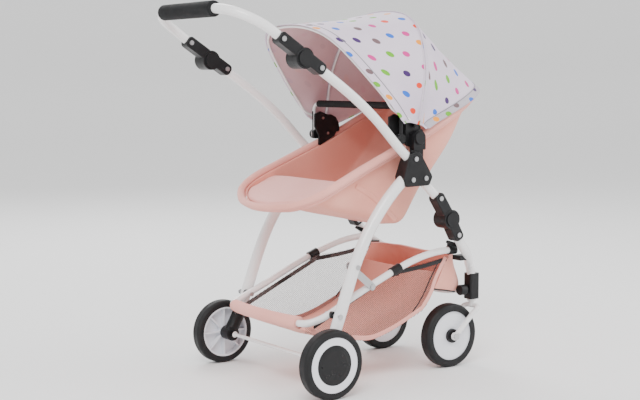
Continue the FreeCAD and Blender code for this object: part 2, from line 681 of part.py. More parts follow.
def build_frame():
    """Legs, junctions, stubs, lower handle tubes, hinge halves, basket tube and their rivets."""
    leg = tube(side_points(REAR_LEG_LINE, FRAME_Y), REAR_LEG_RADIUS)
    stub = tube(side_points(STUB_LINE, FRAME_Y), TUBE_RADIUS)
    handle_lower = tube(side_points(HANDLE_LOWER_LINE, FRAME_Y), TUBE_RADIUS)
    basket_bar = basket_tube()
    axle = across(REAR_AXLE, AXLE_RADIUS, -REAR_HALF_TRACK - 7.5, REAR_HALF_TRACK + 7.5)
    collars = [across(REAR_AXLE, 5.5, side * 127.5, side * 133.8) for side in (-1, 1)]

    socket = rod(Vector(-129.5, FRAME_Y, 104), Vector(REAR_AXLE[0], FRAME_Y, REAR_AXLE[1]), 12.0)
    socket = socket.fuse(across(REAR_AXLE, 12.6, FRAME_Y - 12.3, FRAME_Y + 12.3))
    socket = socket.cut([leg, axle]).removeSplitter()

    front_upper = [
        button_half(FRONT_HINGE, side * FRAME_Y, 123.8, 54) for side in (-1, 1)
    ]
    handle_lower_half = [
        plain_half(HANDLE_HINGE, side * FRAME_Y, -33, 44, 4.0) for side in (-1, 1)
    ]
    left_rivets = [
        rivet((23.9, 348), *JUNCTION),
        rivet((51.6, 349.5), *JUNCTION),
        rivet((30, 383), *JUNCTION),
        rivet((86.9, 312.7), FRAME_Y - HINGE_HALF, FRAME_Y + HINGE_HALF),
        rivet((-162.5, 535.3), FRAME_Y - HINGE_HALF, FRAME_Y + HINGE_HALF),
        rivet(LEG_PIN, BASKET_TUBE_Y - 6, FRAME_Y + 10),
    ]
    brace_rivets = [
        rivet(BRACE_LEG_PIN, -131.2, -FRAME_Y - 10),
        rivet(BRACE_TUBE_PIN, 6 - BASKET_TUBE_Y, -132.8),
    ]
    rivets = group([both(one) for one in left_rivets] + brace_rivets)
    junction = junction_bracket([leg, stub, handle_lower])
    sleeve = rear_sleeve()
    clips = [both(one) for one in basket_clips(basket_bar, leg)]

    parts = {
        "rear_legs": both(leg),
        "rear_leg_sockets": both(socket),
        "rear_axle": axle.fuse(collars).removeSplitter(),
        "junction_brackets": both(junction),
        "seat_posts": both(seat_post()),
        "front_leg_stubs": both(stub),
        "front_hinge_upper_halves": group([half.cut(both(stub)) for half in front_upper]),
        "handle_lower_tubes": both(handle_lower),
        "handle_hinge_lower_halves": group([half.cut(both(handle_lower)) for half in handle_lower_half]),
        "basket_tube": basket_bar,
        "basket_brace": strap(BRACE_LEG_PIN, BRACE_TUBE_PIN, 6.3, -132.8, -131.2),
        "basket_clips": group(clips),
    }
    parts = {name: shape.cut(rivets) for name, shape in parts.items()}
    parts["frame_rivets"] = rivets
    parts["basket_rear_sleeve"] = sleeve.cut(basket_bar)
    parts["basket_floor"] = basket_floor(sleeve)
    parts["basket_mesh_sides"] = both(basket_side())
    return parts


def build_front_frame():
    """The part that folds: lower legs, crossbar, caster housings and hinge halves."""
    leg = tube(FRONT_LEG_ROUTE, TUBE_RADIUS)
    crossbar = tube([
        Vector(STEER_X - 2, 91, 138), Vector(STEER_X - 2, 60, 129), Vector(STEER_X - 2, 0, 122.5),
        Vector(STEER_X - 2, -60, 129), Vector(STEER_X - 2, -91, 138),
    ], 5.0)
    halves = [plain_half(FRONT_HINGE, side * FRAME_Y, -60.8, 42) for side in (-1, 1)]
    rivets = both(rivet((128, 246.7), FRAME_Y - HINGE_HALF, FRAME_Y + HINGE_HALF))
    return {
        "front_legs": both(leg).cut(rivets),
        "front_hinge_lower_halves": group([half.cut(both(leg)).cut(rivets) for half in halves]),
        "front_crossbar": crossbar,
        "caster_housings": both(caster_housing(leg)),
        "basket_saddles": both(basket_saddle(leg)),
        "basket_front_pouch": basket_front_pouch(),
        "front_frame_rivets": rivets,
    }


def build_handle():
    left = [Vector(*point) for point in HANDLE_ROUTE]
    right = [Vector(point.x, -point.y, point.z) for point in reversed(left[:-1])]
    bar = tube(left + right, TUBE_RADIUS)
    middle = HANDLE_ROUTE[-1]
    grip = rod(Vector(middle[0], -84, middle[2]), Vector(middle[0], 84, middle[2]), 13.0)
    grip = softened(grip, 4.0, lambda edge: edge.Curve.TypeId == "Part::GeomCircle")
    halves = [button_half(HANDLE_HINGE, side * FRAME_Y, 147, 58, -4.0) for side in (-1, 1)]
    rivets = both(rivet((-234.4, 580.6), FRAME_Y - HINGE_HALF, FRAME_Y + HINGE_HALF))
    return {
        "handle_tube": bar.cut(rivets),
        "handle_grip": grip.cut(bar),
        "handle_hinge_upper_halves": group([half.cut(bar).cut(rivets) for half in halves]),
        "handle_rivets": rivets,
    }


def build_seat():
    rim = rim_tube(RIM_RADIUS)
    brackets = both(seat_bracket(rim))
    keep_out = across(SEAT_PIVOT, 15.5, -160, 160)
    bar = bumper_bar()
    return {
        "seat_adapters": both(seat_adapter()),
        "seat_rim": rim,
        "seat_brackets": brackets,
        "seat_shell": seat_shell(brackets),
        "seat_floor_pad": seat_floor_pad(),
        "hood_rear_panel": hood_cloth(MIDDLE_EDGE, REAR_EDGE).cut(keep_out),
        "hood_mid_hoop": hood_hoop(MID_HOOP_FOOT, MID_HOOP_ANGLE, MID_ARCH, 130.6),
        "hood_front_hoop": hood_hoop(FRONT_HOOP_FOOT, FRONT_HOOP_ANGLE, FRONT_ARCH, 133.7),
        "hood_front_panel": hood_cloth(FRONT_EDGE, MIDDLE_EDGE),
        "bumper_bar": bar,
        "bumper_sleeve": bumper_sleeve(bar),
    }


def build_pairs():
    """Wheels, casters, buttons, levers and lock knobs, one node for each side."""
    left = {
        "rear_tyre": tyre(REAR_AXLE, REAR_HALF_TRACK, REAR_RIM_RADIUS),
        "rear_hub": rear_hub(),
        "rear_hub_cap": rear_hub_cap(),
        "caster_fork": caster_fork(),
        "caster_bolt": caster_bolt(),
        "caster_tyre": tyre(FRONT_AXLE, CASTER_HALF_TRACK, CASTER_RIM_RADIUS),
        "caster_disc": caster_disc(),
        "swivel_lock_knob": swivel_lock_knob(),
        "latch_lever": latch_lever(),
    }
    parts = {}
    for name, shape in left.items():
        parts[f"{name}_left"] = shape
        parts[f"{name}_right"] = mirrored(shape)
    for side, sign in (("left", 1), ("right", -1)):
        parts[f"handle_button_{side}"] = hinge_button(HANDLE_HINGE, sign * FRAME_Y)
        parts[f"front_hinge_button_{side}"] = hinge_button(FRONT_HINGE, sign * FRAME_Y)
    return parts


os.makedirs("parts", exist_ok=True)
for build in (build_frame, build_front_frame, build_handle, build_seat, build_pairs):
    for node, shape in build().items():
        save(node, shape)
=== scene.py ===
"""A doll stroller: cloth, padding, finishes and studio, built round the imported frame."""
import json
import math

import bmesh
import bpy
import numpy as np
from mathutils import Matrix, Vector, noise


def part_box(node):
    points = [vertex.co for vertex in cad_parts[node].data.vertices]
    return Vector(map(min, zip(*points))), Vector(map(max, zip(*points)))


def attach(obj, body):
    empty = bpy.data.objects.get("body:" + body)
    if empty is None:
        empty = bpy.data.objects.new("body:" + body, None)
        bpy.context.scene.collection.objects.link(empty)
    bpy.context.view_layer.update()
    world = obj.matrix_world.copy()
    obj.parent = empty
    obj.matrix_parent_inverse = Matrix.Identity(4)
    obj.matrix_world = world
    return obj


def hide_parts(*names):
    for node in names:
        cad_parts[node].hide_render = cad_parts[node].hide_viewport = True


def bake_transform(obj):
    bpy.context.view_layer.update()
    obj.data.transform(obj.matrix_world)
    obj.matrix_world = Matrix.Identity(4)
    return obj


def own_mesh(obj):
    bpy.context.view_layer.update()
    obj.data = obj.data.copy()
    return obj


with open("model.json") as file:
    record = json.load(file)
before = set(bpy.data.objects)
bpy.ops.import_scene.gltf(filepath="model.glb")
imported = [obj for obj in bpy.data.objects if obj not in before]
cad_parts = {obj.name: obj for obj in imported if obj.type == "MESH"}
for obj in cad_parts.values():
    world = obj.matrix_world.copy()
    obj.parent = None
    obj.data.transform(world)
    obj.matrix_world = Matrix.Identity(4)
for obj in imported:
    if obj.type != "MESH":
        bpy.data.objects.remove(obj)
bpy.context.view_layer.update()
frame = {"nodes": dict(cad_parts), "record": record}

# Shapes below are in millimetres, with X counted from the middle of the wheelbase, as the
# design counts them. place() turns them into the frame's metres.
MM = 0.001
HALF_WHEELBASE = 156.3
AXLE_LOW, AXLE_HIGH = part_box("rear_axle")
SHIFT_X = (AXLE_LOW.x + AXLE_HIGH.x) / 2 + HALF_WHEELBASE * MM


def place(points):
    """Points in the design's millimetres as an array in the frame's metres."""
    return np.asarray(points, float) * MM + (SHIFT_X, 0, 0)


# --- curves ---

def smooth(points, count, closed=False):
    """A Catmull-Rom curve through points, as count points evenly spaced along it."""
    p = np.asarray(points, float)
    if closed:
        p = np.vstack([p[-1], p, p[0], p[1]])
    else:
        p = np.vstack([2 * p[0] - p[1], p, 2 * p[-1] - p[-2]])
    t = np.linspace(0, 1, 24, endpoint=False)[:, None]
    spans = [
        0.5 * (2 * b + (c - a) * t + (2 * a - 5 * b + 4 * c - d) * t**2 + (3 * b - a - 3 * c + d) * t**3)
        for a, b, c, d in zip(p, p[1:], p[2:], p[3:])
    ]
    return evenly(np.vstack(spans + [p[-2][None]]), count, closed)


def evenly(points, count, closed=False):
    """The same line with count points evenly spaced along it."""
    steps = np.linalg.norm(np.diff(points, axis=0), axis=1)
    along = np.concatenate([[0], np.cumsum(steps)])
    marks = np.linspace(0, along[-1], count + 1)[:-1] if closed else np.linspace(0, along[-1], count)
    return np.column_stack([np.interp(marks, along, points[:, k]) for k in range(points.shape[1])])


def mirrored(points):
    return np.asarray(points, float) * (1, -1, 1)


def whole(left):
    """A line over both sides, from its left half, which ends on the middle plane."""
    return np.vstack([left, mirrored(left)[-2::-1]])


def directions(path, closed=False):
    """Unit tangents along a path."""
    if closed:
        ahead = np.roll(path, -1, 0) - np.roll(path, 1, 0)
    else:
        ahead = np.gradient(path, axis=0)
    return ahead / np.linalg.norm(ahead, axis=1)[:, None]


def rough(point, scale, seed=0.0):
    """Smooth noise from -1 to 1 at a point in millimetres."""
    return noise.noise(Vector(point) / scale + Vector((seed, seed, seed)))


# --- meshes ---

def new_piece(name, vertices, faces, material, uvs=None):
    mesh = bpy.data.meshes.new(name)
    mesh.from_pydata([tuple(v) for v in place(vertices)], [], faces)
    if uvs is not None:
        layer = mesh.uv_layers.new(name="cloth")
        for loop in mesh.loops:
            layer.data[loop.index].uv = uvs[loop.vertex_index]
    mesh.materials.append(material)
    piece = bpy.data.objects.new(name, mesh)
    bpy.context.scene.collection.objects.link(piece)
    mesh.shade_smooth()
    return piece


def grid_piece(name, grid, material, wrap=False):
    """A sheet from rows of points. Its UV is in metres: across from the middle, and along."""
    grid = np.asarray(grid, float)
    rows, columns = grid.shape[:2]
    across = np.linalg.norm(np.diff(grid, axis=1), axis=2).cumsum(1)
    across = np.hstack([np.zeros((rows, 1)), across])
    across -= across[:, -1:] / 2
    along = np.vstack([np.zeros((1, columns)), np.linalg.norm(np.diff(grid, axis=0), axis=2).cumsum(0)])
    uvs = np.stack([across, along], 2).reshape(-1, 2) * MM
    faces = []
    for r in range(rows - 1):
        for c in range(columns if wrap else columns - 1):
            d = (c + 1) % columns
            faces.append((r * columns + c, r * columns + d, (r + 1) * columns + d, (r + 1) * columns + c))
    return new_piece(name, grid.reshape(-1, 3), faces, material, uvs)


def tube_grid(path, radius, sides=12, closed=False, flatten=1.0):
    """Rings round a path. radius is one number, or one for each point."""
    path = np.asarray(path, float)
    radii = np.broadcast_to(radius, len(path))
    tangents = directions(path, closed)
    up = np.array([0, 0, 1.0]) if abs(tangents[0][2]) < 0.9 else np.array([1.0, 0, 0])
    rings = []
    for point, tangent, r in zip(path, tangents, radii):
        side = np.cross(tangent, up)
        side /= np.linalg.norm(side)
        up = np.cross(side, tangent)
        angles = np.linspace(0, 2 * math.pi, sides, endpoint=False)
        rings.append([point + r * (math.cos(a) * side + flatten * math.sin(a) * up) for a in angles])
    if closed:
        rings.append(rings[0])
    return np.array(rings)


def tube_piece(name, path, radius, material, sides=12, closed=False, flatten=1.0, dent=0.0, scale=18.0):
    """A tube with closed ends, with soft dents of up to dent millimetres."""
    rings = tube_grid(path, radius, sides, closed, flatten)
    if dent:
        centres = rings.mean(1, keepdims=True)
        outwards = rings - centres
        outwards /= np.linalg.norm(outwards, axis=2, keepdims=True)
        push = np.array([[rough(v, scale) for v in ring] for ring in rings])
        rings = rings + outwards * push[:, :, None] * dent
    piece = grid_piece(name, rings, material, wrap=True)
    if not closed:
        edit(piece, cap_ends)
    else:
        edit(piece, lambda b: bmesh.ops.remove_doubles(b, verts=b.verts, dist=1e-6))
    return piece


def edit(piece, change):
    b = bmesh.new()
    b.from_mesh(piece.data)
    change(b)
    bmesh.ops.recalc_face_normals(b, faces=b.faces)
    b.to_mesh(piece.data)
    b.free()
    piece.data.shade_smooth()


def cap_ends(b):
    bmesh.ops.holes_fill(b, edges=[e for e in b.edges if e.is_boundary], sides=0)


def apply_modifiers(piece):
    shown = bpy.context.evaluated_depsgraph_get()
    mesh = bpy.data.meshes.new_from_object(piece.evaluated_get(shown), depsgraph=shown)
    piece.modifiers.clear()
    piece.data = mesh
    return piece


def thicken(piece, thickness, offset=0.0, lining=None, levels=0):
    """Gives a sheet its thickness, with the lining material on its second face."""
    solid = piece.modifiers.new("thickness", "SOLIDIFY")
    solid.thickness = thickness * MM
    solid.offset = offset
    solid.use_even_offset = False
    if lining is not None:
        piece.data.materials.append(lining)
        solid.material_offset = 1
        solid.material_offset_rim = 0
    if levels:
        piece.modifiers.new("smooth", "SUBSURF").levels = levels
        piece.modifiers["smooth"].render_levels = levels
    return apply_modifiers(piece)


def settle(piece, body, *nodes, slot=None):
    """Lets a finished piece ride on a body and stand for its CAD nodes."""
    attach(piece, body)
    if nodes:
        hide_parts(*nodes)
    return piece


def stitches(name, path, material, pitch=3.6, length=2.3, radius=0.32, body=None):
    """Short raised threads along a path, two of them to every gap."""
    path = np.asarray(path, float)
    total = np.linalg.norm(np.diff(path, axis=0), axis=1).sum()
    count = max(2, int(total / pitch))
    points = evenly(path, count * 4 + 1)
    tangents = directions(points)
    vertices, faces = [], []
    for k in range(count):
        centre, along = points[k * 4 + 2], tangents[k * 4 + 2]
        side = np.cross(along, (0.31, 0.17, 0.93))
        side /= np.linalg.norm(side)
        up = np.cross(side, along)
        base = len(vertices)
        for end, r in ((-0.5, 0.25), (-0.3, 1.0), (0.3, 1.0), (0.5, 0.25)):
            for a in range(6):
                angle = a * math.pi / 3
                ring = (math.cos(angle) * side + math.sin(angle) * up) * radius * r
                vertices.append(centre + along * end * length + ring)
        for ring in range(3):
            for a in range(6):
                b = (a + 1) % 6
                low, high = base + ring * 6, base + ring * 6 + 6
                faces.append((low + a, low + b, high + b, high + a))
        faces.append(tuple(base + a for a in range(5, -1, -1)))
        faces.append(tuple(base + 18 + a for a in range(6)))
    piece = new_piece(name, vertices, faces, material)
    if body:
        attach(piece, body)
    return piece


# --- materials ---

def material(name, colour, roughness=0.5, **sockets):
    made = bpy.data.materials.new(name)
    made.use_nodes = True
    shader = made.node_tree.nodes["Principled BSDF"]
    shader.inputs["Base Color"].default_value = (*colour, 1)
    shader.inputs["Roughness"].default_value = roughness
    for socket, value in sockets.items():
        shader.inputs[socket.replace("_", " ")].default_value = value
    return made


def node(made, kind, inputs=(), **properties):
    """Adds a node. Each input is a (socket, value or output socket) pair."""
    added = made.node_tree.nodes.new(kind)
    for key, value in properties.items():
        setattr(added, key, value)
    for socket, value in inputs:
        if isinstance(value, bpy.types.NodeSocket):
            made.node_tree.links.new(value, added.inputs[socket])
        else:
            added.inputs[socket].default_value = value
    return added


def to_shader(made, socket, output):
    shader = made.node_tree.nodes["Principled BSDF"]
    made.node_tree.links.new(output, shader.inputs[socket])


def object_place(made):
    return node(made, "ShaderNodeTexCoord").outputs["Object"]


def noise_at(made, coordinates, scale, detail=2.0):
    added = node(made, "ShaderNodeTexNoise", [("Vector", coordinates), ("Scale", scale), ("Detail", detail)])
    return added.outputs["Fac"]


def math_node(made, operation, a, b=0.0):
    return node(made, "ShaderNodeMath", [(0, a), (1, b)], operation=operation).outputs[0]


def ramp(made, factor, low, high, low_value, high_value):
    """factor from low to high, mapped to low_value to high_value."""
    added = node(made, "ShaderNodeMapRange", [
        ("Value", factor), ("From Min", low), ("From Max", high),
        ("To Min", low_value), ("To Max", high_value),
    ])
    return added.outputs["Result"]


def mix_colours(made, factor, a, b):
    """a where factor is 0 and b where it is 1; each is a colour or an output socket."""
    added = node(made, "ShaderNodeMix", data_type="RGBA")
    for socket, value in ((0, factor), (6, a), (7, b)):
        if isinstance(value, bpy.types.NodeSocket):
            made.node_tree.links.new(value, added.inputs[socket])
        elif socket == 0:
            added.inputs[0].default_value = value
        else:
            added.inputs[socket].default_value = (*value, 1)
    return added.outputs[2]


def bump(made, height, strength, distance):
    added = node(made, "ShaderNodeBump", [
        ("Height", height), ("Strength", strength), ("Distance", distance * MM),
    ])
    to_shader(made, "Normal", added.outputs["Normal"])


def shade_of(colour, factor):
    return tuple(c * factor for c in colour)


def speckled(name, colour, roughness, spread, grain, depth, tint=0.9, **sockets):
    """A hard finish: slow changes of tone, uneven gloss and a fine grain of that many per metre."""
    made = material(name, colour, roughness, **sockets)
    at = object_place(made)
    slow = noise_at(made, at, 14.0, 3.0)
    fine = noise_at(made, at, grain, 2.0)
    tone = ramp(made, slow, 0.3, 0.7, 0.0, 1.0)
    to_shader(made, "Base Color", mix_colours(made, tone, shade_of(colour, tint), colour))
    gloss = ramp(made, noise_at(made, at, 60.0, 4.0), 0.3, 0.7, roughness - spread, roughness + spread)
    to_shader(made, "Roughness", gloss)
    bump(made, fine, 0.35, depth)
    return made


def weave_height(made, at, threads):
    """Over-and-under threads, that many to the metre, as a height from 0 to 1."""
    turn = 2 * math.pi * threads
    split = node(made, "ShaderNodeSeparateXYZ", [(0, at)])
    waves = [
        math_node(made, "SINE", math_node(made, "MULTIPLY", split.outputs[k], turn)) for k in (0, 1)
    ]
    crossed = math_node(made, "MULTIPLY", waves[0], waves[1])
    return ramp(made, crossed, -1.0, 1.0, 0.0, 1.0)


def cloth_place(made, with_uv):
    if with_uv:
        return node(made, "ShaderNodeUVMap", uv_map="cloth").outputs["UV"]
    return object_place(made)


def fabric(name, light, dark, with_uv=True, threads=1100, roughness=0.82, depth=0.25, sheen=0.25):
    """A plain-woven cloth: threads, slubs, slow changes between a light and a dark tone, and painted shade
    between the threads.
    """
    made = material(name, light, roughness, Sheen_Weight=sheen, Sheen_Roughness=0.45)
    at = object_place(made)
    weave = weave_height(made, cloth_place(made, with_uv), threads)
    slubs = noise_at(made, at, 900.0, 2.0)
    slow = noise_at(made, at, 9.0, 4.0)
    tone = ramp(made, slow, 0.35, 0.7, 0.0, 1.0)
    base = mix_colours(made, tone, light, dark)
    # Painted shade: the cloth is darkened where the weave is low, between the threads.
    base = mix_colours(made, ramp(made, weave, 0.0, 1.0, 0.16, 0.0), base, shade_of(dark, 0.55))
    base = mix_colours(made, ramp(made, slubs, 0.45, 0.7, 0.0, 0.10), base, shade_of(dark, 0.7))
    to_shader(made, "Base Color", base)
    height = math_node(made, "ADD", weave, math_node(made, "MULTIPLY", slubs, 0.6))
    creases = math_node(made, "MULTIPLY", noise_at(made, at, 38.0, 3.0), 4.0)
    bump(made, math_node(made, "ADD", height, creases), 0.5, depth)
    return made


DOT_COLOURS = [
    (0.95, 0.32, 0.0), (0.85, 0.035, 0.0), (0.13, 0.45, 0.0), (0.0, 0.13, 0.66),
    (0.045, 0.005, 0.11), (0.65, 0.02, 0.26), (0.16, 0.09, 0.10),
]
DOT_PITCH = 0.035
DOT_RADIUS = 0.0061


def dots(made, strength, cloth):
    """Round dots in seven colours over the cloth's colour, one in each cell of the cloth."""
    at = cloth_place(made, True)
    cells = node(
        made, "ShaderNodeTexVoronoi", [("Vector", at), ("Scale", 1 / DOT_PITCH), ("Randomness", 0.42)],
        voronoi_dimensions="2D",
    )
    distance = math_node(made, "MULTIPLY", cells.outputs["Distance"], DOT_PITCH)
    inside = ramp(made, distance, DOT_RADIUS - 0.0002, DOT_RADIUS + 0.0002, strength, 0.0)
    pick = node(made, "ShaderNodeSeparateColor", [(0, cells.outputs["Color"])]).outputs[0]
    palette = node(made, "ShaderNodeValToRGB", [(0, pick)])
    palette.color_ramp.interpolation = "CONSTANT"
    stops = palette.color_ramp.elements
    while len(stops) < len(DOT_COLOURS):
        stops.new(0.5)
    for k, colour in enumerate(DOT_COLOURS):
        stops[k].position = k / len(DOT_COLOURS)
        stops[k].color = (*colour, 1)
    return mix_colours(made, inside, cloth, palette.outputs["Color"])


def printed_cloth(name, light, dark, dot_strength, roughness):
    """Smooth lavender cloth with a printed pattern of dots, and a faint painted shade between its threads.
    """
    made = material(name, light, roughness, Sheen_Weight=0.15, Sheen_Roughness=0.4)
    at = object_place(made)
    weave = weave_height(made, cloth_place(made, True), 1500)
    tone = ramp(made, noise_at(made, at, 11.0, 4.0), 0.35, 0.7, 0.0, 1.0)
    base = mix_colours(made, tone, light, dark)
    # Painted shade: a faint darkening where the weave is low, between the threads.
    base = mix_colours(made, ramp(made, weave, 0.0, 1.0, 0.06, 0.0), base, shade_of(dark, 0.5))
    to_shader(made, "Base Color", dots(made, dot_strength, base))
    creases = math_node(made, "MULTIPLY", noise_at(made, at, 30.0, 4.0), 6.0)
    bump(made, math_node(made, "ADD", weave, creases), 0.45, 0.22)
    return made


WHITE_PAINT = speckled("white_paint", (0.86, 0.85, 0.85), 0.24, 0.05, 420, 0.012, 0.96, Coat_Weight=0.4)
DULL = {"Specular_IOR_Level": 0.3}
BLACK_PLASTIC = speckled("black_plastic", (0.008, 0.008, 0.009), 0.42, 0.08, 1600, 0.05, 0.75, **DULL)
WHITE_PLASTIC = speckled("white_plastic", (0.80, 0.81, 0.86), 0.32, 0.05, 700, 0.015, 0.95)
CAP_PLASTIC = speckled("cap_plastic", (0.010, 0.010, 0.011), 0.30, 0.05, 1500, 0.02, 0.8, **DULL)
RUBBER = speckled("tyre_rubber", (0.011, 0.011, 0.012), 0.58, 0.10, 2200, 0.10, 0.7, **DULL)
FOAM = speckled("black_foam", (0.009, 0.009, 0.010), 0.78, 0.06, 2600, 0.22, 0.75, **DULL)
ZINC = speckled("zinc_plate", (0.55, 0.55, 0.56), 0.32, 0.08, 300, 0.02, 0.85, Metallic=1.0)
PINK = fabric("pink_cloth", (0.93, 0.41, 0.32), (0.84, 0.34, 0.26))
PALE_PINK = fabric("pale_pink_cloth", (0.94, 0.43, 0.36), (0.86, 0.36, 0.30))
PINK_PAD = fabric("pink_pad_cloth", (0.95, 0.46, 0.41), (0.88, 0.39, 0.34), with_uv=False)
BLACK_WEBBING = fabric("black_webbing", (0.020, 0.019, 0.020), (0.014, 0.013, 0.014), threads=700, sheen=0.1)
NET_THREAD = fabric("net_thread", (0.085, 0.055, 0.050), (0.06, 0.04, 0.036), with_uv=False, threads=2500)
# The far side's net is the same dark thread as the near side's, painted a lighter grey: painted light on the
# far panel.
FAR_THREAD_PAINTED_LIGHT = fabric("far_net_thread_painted_light", (0.30, 0.27, 0.27), (0.22, 0.20, 0.20), with_uv=False, threads=2500)
PINK_THREAD = material("pink_thread", (0.96, 0.50, 0.42), 0.6, Sheen_Weight=0.3)
HOOD_PRINT = printed_cloth("hood_print", (0.74, 0.65, 0.76), (0.68, 0.58, 0.71), 1.0, 0.62)
HOOD_PLAIN = fabric("hood_plain", (0.72, 0.63, 0.74), (0.66, 0.57, 0.69), threads=1500, roughness=0.62)
# The rear hem is the same dotted cloth as the hood, painted in a darker, greyer tone: painted shade on the
# folded hem.
HOOD_HEM_PAINTED_SHADE = printed_cloth("hood_hem_painted_shade", (0.50, 0.46, 0.51), (0.45, 0.41, 0.46), 1.0, 0.62)
HOOD_LINING = printed_cloth("hood_lining", (0.76, 0.55, 0.58), (0.68, 0.48, 0.51), 0.08, 0.75)
HOOD_BINDING = fabric("hood_binding", (0.74, 0.66, 0.75), (0.66, 0.58, 0.67), threads=1400, roughness=0.7)
HOOD_SEAM = fabric("hood_seam", (0.30, 0.28, 0.31), (0.24, 0.22, 0.25), threads=1400, roughness=0.7)

CAD_FINISH = {
    "white_tube": WHITE_PAINT,
    "black_plastic": BLACK_PLASTIC,
    "white_plastic": WHITE_PLASTIC,
    "steel": ZINC,
    "black_foam": FOAM,
    "tyre": RUBBER,
}


def finish_cad_nodes():
    slots = {part["node"]: part["material_slot"] for part in frame["record"]["subparts"]}
    special = {f"rear_hub_cap_{side}": CAP_PLASTIC for side in ("left", "right")}
    for name, piece in frame["nodes"].items():
        made = special.get(name, CAD_FINISH.get(slots[name]))
        if made:
            piece.data.materials.clear()
            piece.data.materials.append(made)
    for side in ("left", "right"):
        paint_faces(f"caster_disc_{side}", BLACK_PLASTIC, caster_boss)
    paint_faces("rear_axle", BLACK_PLASTIC, axle_collar)
    paint_faces("bumper_bar", BLACK_PLASTIC, bumper_eye)
    paint_faces("seat_brackets", ZINC, bracket_rivet)


def paint_faces(name, made, chosen):
    """Gives a second material to the CAD node's faces whose middles are chosen."""
    piece = frame["nodes"][name]
    piece.data.materials.append(made)
    low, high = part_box(name)
    middle = (np.array(low) + np.array(high)) / 2
    for face in piece.data.polygons:
        at = piece.matrix_world @ face.center
        if chosen((np.array(at) - (SHIFT_X, 0, 0)) / MM, (np.array(at) - middle) / MM):
            face.material_index = 1


# Each of these takes a face's middle twice: as the design counts, and from its node's middle.
BOSS_RADIUS, BOSS_FROM = 12.6, 9
COLLAR_FROM, COLLAR_TO, ROD_RADIUS = 127.5, 133.8, 3.3
EYE_FROM, EYE_BELOW = 128, 455
RIVETS_WITHIN = 108.9


def caster_boss(_, inner):
    return math.hypot(inner[0], inner[2]) < BOSS_RADIUS and abs(inner[1]) > BOSS_FROM


def axle_collar(at, inner):
    return COLLAR_FROM < abs(at[1]) < COLLAR_TO and math.hypot(inner[0], inner[2]) > ROD_RADIUS


def bumper_eye(at, _):
    return abs(at[1]) > EYE_FROM and at[2] < EYE_BELOW


def bracket_rivet(at, _):
    return abs(at[1]) < RIVETS_WITHIN


# --- the seat ---
RIM_LEFT = [
    (-187, 0, 302.5), (-182, 40, 304), (-168.5, 81, 309), (-146, 115, 323.5), (-112, 126, 342),
    (-60, 123.5, 365), (0, 121, 390), (60, 120, 415), (130, 118, 449), (178, 110, 473),
    (206, 98, 486), (228, 72, 495), (237, 36, 499), (239, 0, 500),
]
PLAN_LEFT = [
    (-179, 0), (-173.5, 38), (-160, 76), (-139, 107), (-110, 117), (-60, 114), (0, 112), (130, 111),
    (176, 102), (203, 90), (222, 66), (230, 34), (231, 0),
]
SEAT_BOTTOM = [
    (-190, 296), (-170, 300), (-145, 309), (-128, 309), (-108, 301.5), (-90, 295), (-48, 284.5),
    (0, 275.5), (38, 268.5), (60, 296), (80, 326), (104, 352), (152, 408), (198, 468), (222, 484),
]
SEAM_TOP = [(-62, 343), (-32, 327), (-11, 312), (11, 292), (25, 279)]
SEAM_WIDTH = 9.0
SEAM_PROFILE = ((0, 0.6), (0.1, 1.9), (0.5, 2.3), (0.9, 1.9), (1, 0.6))
FOOT_X, FULL_X = -187, -120
HEM_FULL_X = -130
HEM_DROP, HEM_INWARDS, HEM_RADIUS, HEM_FOOT_RISE = 9.0, 4.6, 4.6, 6.0
SLEEVE_RADIUS, SLEEVE_FOOT_RADIUS = 7.2, 6.0


def rim_line(count, drop=0.0, inwards=0.0):
    """The rim's closed line, lowered by drop and drawn in towards the seat's middle."""
    left = np.array(RIM_LEFT, float)
    right = mirrored(left[1:-1])[::-1]
    line = smooth(np.vstack([left, right]), count, closed=True)
    if inwards:
        ahead = directions(line * (1, 1, 0), closed=True)
        line = line + np.column_stack([ahead[:, 1], -ahead[:, 0], np.zeros(count)]) * inwards
    line[:, 2] -= drop
    return line


def rim_height(x):
    left = smooth(RIM_LEFT, 200)
    return np.interp(x, left[:, 0], left[:, 2])


CORNER, SINK, BULGE = 16.0, 4.0, 1.2
BELOW_RIM, LEAST_DEPTH = 2.0, 4


def seat_section(x, half, top, bottom, count):
    """One U of the bucket's cloth at x, from the left edge down, across and up to the right."""
    corner = min(CORNER, half * 0.6, (top - bottom) * 0.6)
    sink = min(SINK, half * 0.05)
    turn = np.linspace(0, math.pi / 2, 7)
    arc_y = half - corner + corner * np.cos(turn)
    arc_z = bottom + corner - corner * np.sin(turn)
    middle = [(half * f, bottom - sink * (1 - f * f)) for f in (0.6, 0.3, 0.0)]
    left = [(half, top), (half + BULGE, (top + bottom) / 2)] + list(zip(arc_y, arc_z)) + middle
    left = np.array([(x, y, z) for y, z in left])
    return evenly(whole(left), count)


def seat_grid(rows=96, columns=61):
    plan = smooth([(x, y, 0) for x, y in PLAN_LEFT], rows + 2)[1:-1]
    bottom_line = smooth([(x, 0, z) for x, z in SEAT_BOTTOM], 200)
    grid = []
    for x, y, _ in plan:
        top = rim_height(x) - BELOW_RIM
        bottom = min(np.interp(x, bottom_line[:, 0], bottom_line[:, 2]), top - LEAST_DEPTH)
        grid.append(seat_section(x, max(y - 1.2, 6), top, bottom, columns))
    grid = np.array(grid)
    soft = np.array([[rough(p, 46, 3) * 1.6 + rough(p, 17, 9) * 0.5 for p in row] for row in grid])
    edge = np.minimum(1, np.minimum(np.arange(columns), np.arange(columns)[::-1]) / 6)
    grid[:, :, 2] += soft * edge
    grid[:, :, 1] += np.sign(grid[:, :, 1]) * soft * edge * 0.5
    return grid


